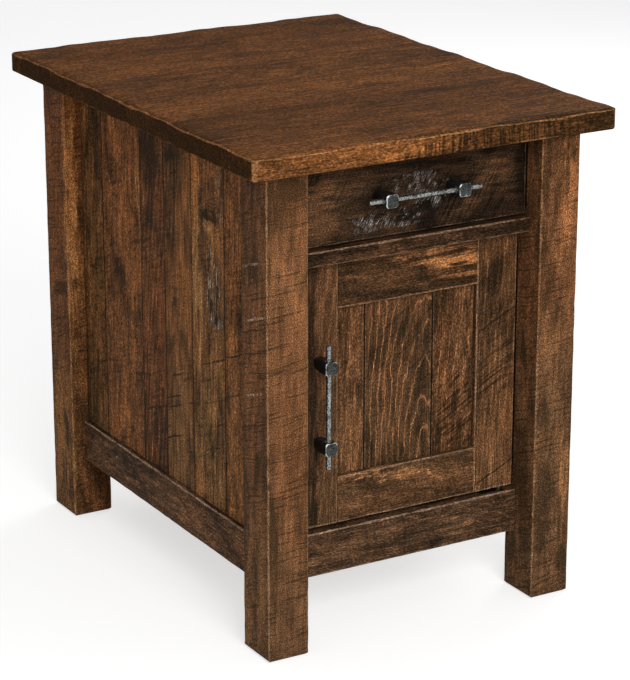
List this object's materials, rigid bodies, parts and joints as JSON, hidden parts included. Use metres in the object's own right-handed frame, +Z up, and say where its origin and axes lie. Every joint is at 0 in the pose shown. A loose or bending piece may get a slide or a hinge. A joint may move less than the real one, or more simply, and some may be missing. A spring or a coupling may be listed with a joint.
{
  "type": "side table with drawer",
  "caption": "Rustic wooden side table with square legs, a hewn-edged top, an inset drawer on telescopic slides above a panelled cupboard door, and forged iron bar pulls.",
  "frame": {"origin": "on the floor, under the middle of the tabletop", "axes": "+Z up, +Y from the front to the back (front towards -Y), +X to the right seen from the front"},
  "size_m": [0.5, 0.66, 0.635],
  "materials": {
    "top_wood": "satin stain on rough-sawn wood",
    "leg_wood": "satin stain on rough-sawn wood",
    "rail_wood": "satin stain on rough-sawn wood",
    "plank_wood": "satin stain on rough-sawn wood",
    "door_wood": "satin stain on rough-sawn wood",
    "drawer_front_wood": "satin stain on rough-sawn wood",
    "inner_wood": "clear satin lacquer",
    "drawer_box_wood": "clear satin lacquer",
    "forged_iron": "hammered, worn black",
    "slide_steel": "zinc-plated",
    "hinge_steel": "dark bronze plate",
    "catch_plastic": "matte"
  },
  "bodies": {
    "case": {"back_bottom_rail": "rail_wood", "back_panel": "plank_wood", "back_top_rail": "inner_wood", "cabinet_floor": "inner_wood", "door_catch": "catch_plastic", "drawer_divider_rail": "rail_wood", "front_bottom_rail": "rail_wood", "front_top_rail": "inner_wood", "hinge_case_leaves": "hinge_steel", "left_bottom_rail": "rail_wood", "left_side_plank_1": "plank_wood", "left_side_plank_2": "plank_wood", "left_side_plank_3": "plank_wood", "left_side_plank_4": "plank_wood", "left_side_plank_5": "plank_wood", "left_side_plank_6": "plank_wood", "left_top_rail": "inner_wood", "leg_back_left": "leg_wood", "leg_back_right": "leg_wood", "leg_front_left": "leg_wood", "leg_front_right": "leg_wood", "right_bottom_rail": "rail_wood", "right_side_plank_1": "plank_wood", "right_side_plank_2": "plank_wood", "right_side_plank_3": "plank_wood", "right_side_plank_4": "plank_wood", "right_side_plank_5": "plank_wood", "right_side_plank_6": "plank_wood", "right_top_rail": "inner_wood", "shelf": "inner_wood", "shelf_clips": "slide_steel", "slide_case_member_left": "slide_steel", "slide_case_member_right": "slide_steel", "slide_support_left": "inner_wood", "slide_support_right": "inner_wood", "tabletop": "top_wood"},
    "drawer": {"drawer_front": "drawer_front_wood", "drawer_box_front": "drawer_box_wood", "drawer_box_back": "drawer_box_wood", "drawer_side_left": "drawer_box_wood", "drawer_side_right": "drawer_box_wood", "drawer_bottom": "drawer_box_wood", "slide_drawer_member_left": "slide_steel", "slide_drawer_member_right": "slide_steel", "drawer_pull_bar": "forged_iron", "drawer_pull_posts": "forged_iron"},
    "slide_middles": {"slide_middle_member_left": "slide_steel", "slide_middle_member_right": "slide_steel"},
    "door": {"door_pull_stile": "door_wood", "door_hinge_stile": "door_wood", "door_top_rail": "door_wood", "door_bottom_rail": "door_wood", "door_panel_plank_1": "door_wood", "door_panel_plank_2": "door_wood", "door_panel_plank_3": "door_wood", "door_pull_bar": "forged_iron", "door_pull_posts": "forged_iron", "hinge_door_leaves": "hinge_steel", "catch_strike": "slide_steel"}
  },
  "joints": [
    {"name": "drawer_slide", "type": "slide", "parent": "case", "child": "drawer", "axis": [0, -1, 0], "range_m": [0, 0.4]},
    {"name": "slide_middle_travel", "type": "slide", "parent": "case", "child": "slide_middles", "axis": [0, -1, 0], "range_m": [0, 0.2]},
    {"name": "door_hinge", "type": "hinge", "parent": "case", "child": "door", "pos_m": [0.1445, -0.2485, 0.30925], "axis": [0, 0, 1], "range_deg": [0, 95]}
  ],
  "couplings": [
    {"joint": "slide_middle_travel", "follows": "drawer_slide", "ratio": 0.5}
  ]
}
